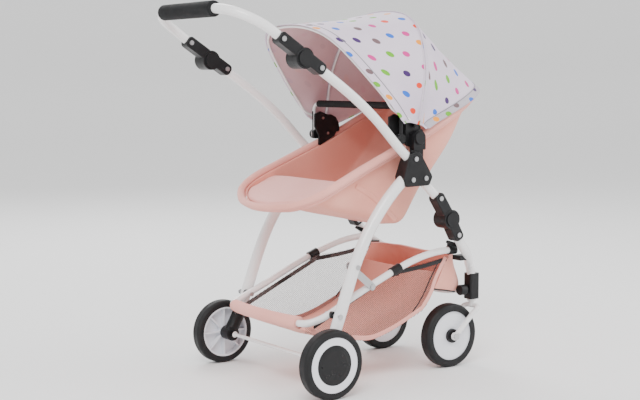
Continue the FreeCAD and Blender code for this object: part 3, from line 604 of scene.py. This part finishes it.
def make_seat():
    grid = seat_grid()
    bucket = thicken(grid_piece("seat_bucket", grid, PINK), 2.0, levels=1)
    settle(bucket, "seat", "seat_shell", slot="seat_fabric")

    line = rim_line(260)
    slim = np.interp(line[:, 0], [FOOT_X, FULL_X], [SLEEVE_FOOT_RADIUS, SLEEVE_RADIUS])
    sleeve = tube_piece("seat_rim_sleeve", line, slim, PALE_PINK, 16, closed=True, dent=0.35)
    settle(sleeve, "seat", "seat_rim", slot="seat_fabric")
    under = rim_line(240, drop=HEM_DROP, inwards=HEM_INWARDS)
    under[:, 2] += np.interp(under[:, 0], [FOOT_X, HEM_FULL_X], [HEM_FOOT_RISE, 0.0])
    hem = tube_piece("seat_hem", under, HEM_RADIUS, PALE_PINK, 10, closed=True, dent=0.4)
    settle(hem, "seat", slot="seat_fabric")
    stitches("rim_stitches", rim_line(300, drop=-4.6, inwards=5.2), PINK_THREAD, body="seat")
    for side, sign in (("left", 1), ("right", -1)):
        make_side_seam(side, sign)
    make_foot_pad()


def make_side_seam(side, sign):
    """The folded band of cloth that runs down the bucket's side, sewn along its upper edge."""
    line = smooth([(x, z, 0) for x, z in SEAM_TOP], 60)[:, :2]
    ahead = directions(line)
    below = np.column_stack([ahead[:, 1], -ahead[:, 0]])
    below *= -np.sign(below[:, 1:])
    rows = []
    for share, out in SEAM_PROFILE:
        at = line + below * SEAM_WIDTH * share
        half = [seat_half(x) + out for x in at[:, 0]]
        rows.append(np.column_stack([at[:, 0], np.multiply(half, sign), at[:, 1]]))
    band = thicken(grid_piece(f"seat_pleat_{side}", np.array(rows), PINK), 1.0, levels=1)
    settle(band, "seat", slot="seat_fabric")


def seat_half(x):
    """Half the bucket's width at x."""
    plan = smooth([(x, y, 0) for x, y in PLAN_LEFT], 200)
    return np.interp(x, plan[:, 0], plan[:, 1])


CLOTH_FRAMES = 20


def swollen(piece, voxel, cap, pressure=4.0):
    """Remeshes a closed shape and blows it up like a filled pad, each point by at most cap."""
    remesh = piece.modifiers.new("even", "REMESH")
    remesh.mode = "VOXEL"
    remesh.voxel_size = voxel * MM
    apply_modifiers(piece)
    before = np.array([v.co for v in piece.data.vertices])
    cloth = piece.modifiers.new("cloth", "CLOTH")
    cloth.settings.use_pressure = True
    cloth.settings.uniform_pressure_force = pressure
    cloth.settings.effector_weights.gravity = 0
    cloth.settings.tension_stiffness = 12
    cloth.point_cache.frame_start = 1
    cloth.point_cache.frame_end = CLOTH_FRAMES
    for step in range(1, CLOTH_FRAMES + 1):
        bpy.context.scene.frame_set(step)
    apply_modifiers(piece)
    after = np.array([v.co for v in piece.data.vertices])
    move = after - before
    size = np.linalg.norm(move, axis=1, keepdims=True)
    after = before + move * np.minimum(1, cap * MM / np.maximum(size, 1e-9))
    piece.data.vertices.foreach_set("co", after.astype(np.float32).ravel())
    bpy.context.scene.frame_set(1)
    piece.modifiers.new("smooth", "SUBSURF").levels = 1
    piece.modifiers["smooth"].render_levels = 1
    apply_modifiers(piece)
    piece.data.shade_smooth()
    return piece


PAD_TOP = [(-190, 301.5), (-182, 304.5), (-160, 312), (-120, 327.5), (-75, 345)]
PAD_FOOT, PAD_REAR = -178, -75
PAD_THICKNESS = 5.0
PAD_CROWN = 1.5
PAD_OVERHANG = 1.5
PAD_ARC = [(-78, 92, 0), (-108, 92, 0), (-132, 82, 0), (-148, 52, 0), (-154, 0, 0)]


def make_foot_pad():
    """The padded panel over the foot end, level with the rim, with a stitched arc."""
    top_line = smooth([(x, 0, z) for x, z in PAD_TOP], 100)
    tops, lows = [], []
    for x in np.linspace(PAD_FOOT, PAD_REAR, 30):
        half = seat_half(x) + PAD_OVERHANG
        z = np.interp(x, top_line[:, 0], top_line[:, 2])
        across = np.linspace(-1, 1, 33)
        crown = PAD_CROWN * (1 - across**4)
        tops.append([(x, half * a, z + c) for a, c in zip(across, crown)])
        lows.append([(x, half * a, z - PAD_THICKNESS) for a in across])
    loop = np.array(tops + lows[::-1])
    pad = grid_piece("foot_pad", np.vstack([loop, loop[:1]]), PINK_PAD)
    edit(pad, lambda b: bmesh.ops.remove_doubles(b, verts=b.verts, dist=1e-6))
    edit(pad, cap_ends)
    swollen(pad, 3.0, 2.0)
    arc = whole(smooth(PAD_ARC, 50))
    press_seam(pad, arc, 2.6, 1.4)
    settle(pad, "seat", "seat_floor_pad", slot="seat_fabric")
    stitches("pad_stitches", on_top(pad, arc), PINK_THREAD, body="seat")


def press_seam(piece, line, width, depth):
    """Presses a groove into a pad's top along a line seen from above."""
    seen = place(line)[:, :2]
    points = np.array([v.co for v in piece.data.vertices])
    normals = np.array([v.normal for v in piece.data.vertices])
    gaps = np.min(np.linalg.norm(points[:, None, :2] - seen[None], axis=2), axis=1)
    share = np.clip(1 - gaps / (width * MM), 0, 1) ** 2 * (normals[:, 2] > 0.2)
    points[:, 2] -= share * depth * MM
    piece.data.vertices.foreach_set("co", points.astype(np.float32).ravel())
    piece.data.update()


def on_top(piece, line):
    """The line laid on the piece's top, in the design's millimetres."""
    laid = []
    for point in place(line):
        hit, where, _, _ = piece.ray_cast(Vector((point[0], point[1], 1.0)), Vector((0, 0, -1)))
        if hit:
            laid.append((np.array(where) - (SHIFT_X, 0, 0)) / MM + (0, 0, 0.15))
    return np.array(laid)


# --- the hood ---
HOOP_Y = 136.0
CLOTH_OFFSET = 4.1
FRONT_EDGE = ((20, 441), 130.7, [
    (HOOP_Y, 0), (HOOP_Y, 45), (131, 80), (125, 107), (114, 150), (106, 170), (96, 186), (82, 199),
    (62, 209), (34, 216), (0, 218.5),
])
MIDDLE_EDGE = ((51, 437), 81.0, [
    (HOOP_Y, 2), (138, 45), (137, 75), (133, 100), (125, 124), (116, 143), (105, 161), (89, 177),
    (64, 190), (34, 196), (0, 198),
])
REAR_EDGE = ((52, 425), 22.0, [
    (134, 17), (128, 40), (125, 65), (123, 90), (119, 120), (114, 140), (107, 160), (98, 176),
    (85, 191), (66, 203), (36, 210), (0, 212),
])
HOOP_PIVOT = (46, 444)


def arch(edge, outwards=CLOTH_OFFSET, count=97):
    """An arch's line from the left foot over to the right, grown outwards."""
    foot, degrees, outline = edge
    angle = math.radians(degrees)
    top = outline[-1][1]
    points = []
    for half, along in outline:
        reach = along * (1 + outwards / top)
        spread = half * (1 + outwards / HOOP_Y)
        points.append((foot[0] + reach * math.cos(angle), spread, foot[1] + reach * math.sin(angle)))
    return evenly(whole(smooth(points, 200)), count)


def hood_surface(edge_a, edge_b, shares, sag, seed=0.0, lift=0.0):
    """Cloth pulled tight between two arches and drawn in between: a row for each share of the way."""
    a, b = arch(edge_a), arch(edge_b)
    centre = (a.mean(0) + b.mean(0)) / 2 * (1, 0, 1)
    grid = []
    for share in shares:
        s = np.broadcast_to(share, len(a))[:, None]
        line = a * (1 - s) + b * s
        inwards = centre - line
        inwards /= np.linalg.norm(inwards, axis=1)[:, None]
        ripple = np.array([hood_ripple(p, seed) for p in line])
        grid.append(line + inwards * ((sag + ripple[:, None]) * 4 * s * (1 - s) - lift))
    return np.array(grid)


def hood_ripple(point, seed):
    return rough(point, 34, seed) * 1.5 + rough(point * (1, 1, 0.4), 15, seed) * 0.4


BAND_TRIM = 1


def hood_band(name, edges, start, width, cloth, sag, seed=0.0, lift=1.1, thickness=1.2):
    """A flat band sewn on the hood, from start to start + width millimetres behind the first arch."""
    gap = np.linalg.norm(arch(edges[1]) - arch(edges[0]), axis=1)
    shares = [np.clip((start + width * f) / gap, -0.2, 0.45) for f in np.linspace(0, 1, 5)]
    grid = hood_surface(*edges, shares, sag, seed, lift)[:, BAND_TRIM:-BAND_TRIM]
    return thicken(grid_piece(name, grid, cloth), thickness, levels=1)


def make_hoop(name, edge, pivot_y, body, cad_node):
    """A hood wire: along its arch, and in to the pivot at each end."""
    line = arch(edge, 0.0)
    ends = [np.array([(HOOP_PIVOT[0], sign * pivot_y, HOOP_PIVOT[1])], float) for sign in (1, -1)]
    path = smooth(np.vstack([ends[0], line[3:-3:4], ends[1]]), 140)
    settle(tube_piece(name, path, 2.2, WHITE_PAINT, 12), body, cad_node, slot="white_tube")


FRONT_SAG, REAR_SAG, REAR_SEED = 5.0, 4.0, 5.0
HOOD_THICKNESS = 1.1
SEAM_LOOK = {"lift": 1.5, "thickness": 1.0}


def make_hood():
    make_hoop("hood_front_wire", FRONT_EDGE, 134.5, "hood_front", "hood_front_hoop")
    make_hoop("hood_mid_wire", MIDDLE_EDGE, 131.4, "hood_mid", "hood_mid_hoop")
    rows = np.linspace(0, 1, 29)
    front_grid = hood_surface(FRONT_EDGE, MIDDLE_EDGE, rows, FRONT_SAG)
    front = grid_piece("hood_front_cloth", front_grid, HOOD_PRINT)
    front = thicken(front, HOOD_THICKNESS, lining=HOOD_LINING, levels=1)
    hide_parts("hood_front_panel")

    rear_grid = hood_surface(MIDDLE_EDGE, REAR_EDGE, rows, REAR_SAG, REAR_SEED)
    rear = grid_piece("hood_rear_cloth", rear_grid, HOOD_PRINT)
    rear = thicken(rear, HOOD_THICKNESS, lining=HOOD_LINING, levels=1)
    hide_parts("hood_rear_panel")

    to_middle = (FRONT_EDGE, MIDDLE_EDGE)
    to_rear = (MIDDLE_EDGE, REAR_EDGE)
    from_rear = (REAR_EDGE, MIDDLE_EDGE)
    front_pieces = [
        front,
        hood_band("hood_front_hem", to_middle, -1.5, 16.5, HOOD_PRINT, FRONT_SAG),
        hood_band("hood_front_seam", to_middle, 15.0, 1.4, HOOD_SEAM, FRONT_SAG, **SEAM_LOOK),
    ]
    rear_pieces = [
        rear,
        hood_band("hood_middle_band", to_rear, 1.0, 9.5, HOOD_PLAIN, REAR_SAG, REAR_SEED, lift=1.4),
        # The rear hem uses the darker copy of the hood print: painted shade.
        hood_band("hood_rear_hem", from_rear, -2.0, 14.5, HOOD_HEM_PAINTED_SHADE, REAR_SAG, REAR_SEED),
        hood_band("hood_rear_seam", from_rear, 12.5, 1.2, HOOD_SEAM, REAR_SAG, REAR_SEED, **SEAM_LOOK),
        hood_band("hood_binding", to_rear, -4.5, 9.0, HOOD_BINDING, REAR_SAG, REAR_SEED, lift=-1.4),
    ]
    for piece in front_pieces:
        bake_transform(piece)
    for piece in rear_pieces:
        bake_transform(piece)


# --- the basket ---
BASKET_BOTTOM = [
    (-172, 106.5), (-158, 100), (-120, 86), (-66, 77), (-30, 73.5), (10, 83), (48, 98), (84, 114),
    (106, 140), (122, 176),
]
BASKET_TOP = [(-150, 113), (-66, 152), (13, 188), (76, 193.5), (138, 203)]
FRONT_TRIM = [(84, 114), (104, 140), (116, 166), (138, 201)]
SIDE_Y = 113.2
NET_PITCH = 4.0
REAR_HEM_LEFT = [(-170.5, 101, 116.3), (-178, 45, 116), (-179, 0, 116)]
REAR_STITCH_LEFT = [(-163, 98, 107.2), (-169.5, 45, 106.6), (-170.5, 0, 106.6)]
SEAM_CORD = [(58, 108), (82, 136), (100, 166), (118, 194)]


def flat_line(pairs, y, count):
    return smooth([(x, y, z) for x, z in pairs], count)


def gathers(piece):
    """Gives the piece a mesh of its own; it does not make the cloth gather up under the basket's tube as the
    front legs fold back.
    """
    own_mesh(piece)
    return piece


def side_bulge(x, z):
    return 2.2 * rough((x, 0, z), 60, 2) + 0.8 * rough((x, 0, z), 20, 4)


def net_side(sign):
    """One mesh panel: a diamond net of real threads between the top and bottom edges."""
    top = smooth([(x, z, 0) for x, z in BASKET_TOP], 200)
    bottom = smooth([(x, z, 0) for x, z in BASKET_BOTTOM[1:-2] + FRONT_TRIM[1:]], 300)
    step = NET_PITCH / 2
    columns = range(int(-165 / step), int(142 / step))
    rows = range(int(70 / step), int(210 / step))

    def inside(x, z):
        return np.interp(x, bottom[:, 0], bottom[:, 1]) < z < np.interp(x, top[:, 0], top[:, 1])

    index, vertices, faces = {}, [], []

    def vertex(i, j):
        if (i, j) not in index:
            x, z = i * step, j * step * 0.9
            index[i, j] = len(vertices)
            vertices.append((x, sign * (SIDE_Y - 0.6 + side_bulge(x, z) * 0.6), z))
        return index[i, j]

    for i in columns:
        for j in range(rows[0], int(rows[-1] / 0.9)):
            if (i + j) % 2 == 0 and inside(i * step, j * step * 0.9):
                faces.append([vertex(i - 1, j), vertex(i, j - 1), vertex(i + 1, j), vertex(i, j + 1)])
    return vertices, faces


def strip(name, line, width, material, thickness, downwards, y_out=0.0):
    """A flat band of webbing along a line, its width measured along downwards."""
    line = np.asarray(line, float)
    across = np.asarray(downwards, float)
    rows = []
    for f in np.linspace(0, 1, 5):
        rows.append(line + across * width * f + (0, y_out * (1 - (2 * f - 1) ** 2), 0))
    return thicken(grid_piece(name, np.array(rows), material), thickness, levels=1)


def make_basket():
    floor_line = flat_line(BASKET_BOTTOM, 0, 90)
    grid = []
    for x, _, z in floor_line:
        row = []
        for f in np.linspace(-1, 1, 45):
            sag = 3.0 * (1 - f * f) + 1.2 * rough((x, f * 113, z), 30, 6) * (1 - f**8)
            row.append((x, f * SIDE_Y, z - sag + 0.4))
        grid.append(row)
    floor = thicken(grid_piece("basket_floor_cloth", np.array(grid), PINK), 1.5, levels=1)
    settle(floor, "chassis", "basket_floor", slot="seat_fabric")
    gathers(floor)

    around = smooth(whole(REAR_HEM_LEFT), 110)
    sleeve = tube_piece("basket_rear_hem", around, 10.6, PALE_PINK, 18, dent=0.9, scale=24)
    settle(sleeve, "chassis", "basket_rear_sleeve", slot="seat_fabric")
    sewn = smooth(whole(REAR_STITCH_LEFT), 90)
    stitches("rear_hem_stitches", sewn, PINK_THREAD, body="chassis")

    for side, sign in (("left", 1), ("right", -1)):
        make_basket_side(side, sign)
    make_pouch()


def make_basket_side(side, sign):
    vertices, faces = net_side(sign)
    # The far panel's threads get the lighter grey copy of the thread colour: painted light.
    thread = FAR_THREAD_PAINTED_LIGHT if sign > 0 else NET_THREAD
    net = new_piece(f"basket_net_{side}", vertices, faces, thread)
    wire = net.modifiers.new("threads", "WIREFRAME")
    wire.thickness = 0.75 * MM
    wire.use_even_offset = False
    wire.use_boundary = True
    apply_modifiers(net)
    settle(net, "chassis", *(["basket_mesh_sides"] if sign > 0 else []), slot="mesh_fabric")
    gathers(net)

    y = sign * SIDE_Y
    bands = {
        "rear_binding": (flat_line(BASKET_TOP[:3], y, 60), 8.5, BLACK_WEBBING, (0, 0, -1)),
        "front_binding": (flat_line(BASKET_TOP[2:], y, 50), 8.0, BLACK_WEBBING, (0, 0, -1)),
        "bottom_trim": (flat_line(BASKET_BOTTOM[1:8], y + sign * 0.8, 90), 8.5, PALE_PINK, (0, 0, 1)),
        "front_trim": (flat_line(FRONT_TRIM, y + sign * 0.8, 50), 8.0, PALE_PINK, (-0.85, 0, 0.5)),
    }
    for name, (line, width, cloth, across) in bands.items():
        band = strip(f"basket_{name}_{side}", line, width, cloth, 1.6, across, sign * 0.6)
        settle(band, "chassis", slot="seat_fabric")
        gathers(band)
    cord = tube_piece(f"basket_seam_{side}", flat_line(SEAM_CORD, y, 40), 1.1, BLACK_WEBBING, 8)
    settle(cord, "chassis", slot="seat_fabric")
    gathers(cord)
    sewn = flat_line(BASKET_BOTTOM[1:8], y + sign * 2.3, 90) + (0, 0, 6.3)
    gathers(stitches(f"bottom_stitches_{side}", sewn, PINK_THREAD, body="chassis"))


POUCH_REAR = [(110, 148), (116, 158), (126, 180), (140, 203)]
POUCH_SIDE, POUCH_HALF, POUCH_HEIGHT = 112.6, 113, 55
WALL_SAG, BASE_SAG = 5, 2.5
POUCH_FRONT = [(193, 131.5), (200, 139), (201, 152), (192, 176), (178, 203)]


def make_pouch():
    """The cloth bag that closes the basket's front: walls in rings, and a sagging bottom."""
    rings = []
    rear = smooth([(x, 0, z) for x, z in POUCH_REAR], 16)
    front = smooth([(x, 0, z) for x, z in POUCH_FRONT], 16)
    for low, high in zip(rear, front):
        left = [
            (low[0], POUCH_SIDE, low[2]),
            ((low[0] + high[0]) / 2, 104, (low[2] + high[2]) / 2),
            (high[0] - 8, 80, high[2]),
            (high[0], 62, high[2]),
            (high[0] + 0.5, 0, high[2]),
        ]
        ring = smooth(whole(np.array(left)), 71)
        height = (low[2] - POUCH_REAR[0][1]) / POUCH_HEIGHT
        share = np.clip(1 - np.abs(ring[:, 1]) / POUCH_HALF, 0, 1)
        ring[:, 2] -= WALL_SAG * height * share**0.8
        rings.append(ring)
    base = rings[0]
    half = len(base) // 2
    under = []
    for k in range(half + 1):
        a, b = base[k], base[len(base) - 1 - k]
        shares = np.linspace(0, 1, 21)
        under.append([a * (1 - f) + b * f - (0, 0, BASE_SAG * math.sin(math.pi * f)) for f in shares])
    wall = np.array(rings)
    for ring in wall:
        for p in ring:
            p[0] += 1.4 * rough(p, 26, 8)
    pouch = grid_piece("pouch_wall", wall, PINK)
    thicken(pouch, 1.5, levels=1)
    settle(pouch, "front_frame", "basket_front_pouch", slot="seat_fabric")
    bottom = thicken(grid_piece("pouch_bottom", np.array(under), PINK), 1.5, levels=1)
    settle(bottom, "front_frame", slot="seat_fabric")
    edge = tube_piece("pouch_edge", wall[-1] + (0, 0, 0.6), 1.9, PALE_PINK, 10, dent=0.2)
    settle(edge, "front_frame", slot="seat_fabric")
    seam = tube_piece("pouch_seam", wall[0] + (0, 0, -0.4), 1.5, BLACK_WEBBING, 8, dent=0.3)
    settle(seam, "front_frame", slot="seat_fabric")


# --- studio ---
YAW = 34.89
PITCH = 5.60
ROLL = 0.11
LENS = 72.579
SENSOR = 36.0
CAMERA_AT = (-1345.6, -1847.6, 521.5)


def make_camera():
    """The camera at the photograph's viewpoint."""
    data = bpy.data.cameras.new("camera")
    data.sensor_width = SENSOR
    data.lens = LENS
    data.shift_y = 0.005
    camera = bpy.data.objects.new("camera", data)
    bpy.context.scene.collection.objects.link(camera)
    yaw, pitch, roll = (math.radians(v) for v in (YAW, PITCH, ROLL))
    turn = Matrix.Rotation(-yaw, 4, "Z") @ Matrix.Rotation(math.pi / 2 - pitch, 4, "X")
    turn = turn @ Matrix.Rotation(-roll, 4, "Z")
    camera.matrix_world = Matrix.Translation(place(CAMERA_AT)) @ turn
    bpy.context.scene.camera = camera


FLOOR_PROFILE = [
    (0, 0), (1200, 0), (2500, 0), (4500, 0), (7000, 60), (9000, 600), (10000, 2200), (10400, 6000),
]


def make_floor():
    """A pale floor that rises softly into a backdrop on every side."""
    floor_material = material("studio_floor", (0.90, 0.90, 0.90), 0.9)
    rings = []
    for radius, height in FLOOR_PROFILE:
        angles = np.linspace(0, 2 * math.pi, 49)
        rings.append([(radius * math.cos(a), radius * math.sin(a), height) for a in angles])
    floor = grid_piece("floor", np.array(rings), floor_material)
    edit(floor, lambda b: bmesh.ops.remove_doubles(b, verts=b.verts, dist=1e-6))


def make_light(name, at, target, size, power):
    data = bpy.data.lights.new(name, "AREA")
    data.shape = "DISK"
    data.size = size
    data.energy = power
    lamp = bpy.data.objects.new(name, data)
    bpy.context.scene.collection.objects.link(lamp)
    lamp.location = at
    lamp.rotation_mode = "QUATERNION"
    lamp.rotation_quaternion = (Vector(target) - Vector(at)).to_track_quat("-Z", "Y")


def make_lights():
    world = bpy.data.worlds.new("studio")
    bpy.context.scene.world = world
    world.use_nodes = True
    background = world.node_tree.nodes["Background"]
    background.inputs["Color"].default_value = (1, 1, 1, 1)
    background.inputs["Strength"].default_value = 1.25
    middle = (0, 0, 0.3)
    make_light("key", (-1.6, -1.8, 2.4), middle, 1.6, 75)
    make_light("fill", (2.2, -1.4, 1.4), middle, 2.0, 32)
    make_light("back", (0.6, 2.2, 2.2), middle, 1.8, 45)


make_camera()
make_floor()
make_lights()
finish_cad_nodes()
make_seat()
make_hood()
make_basket()
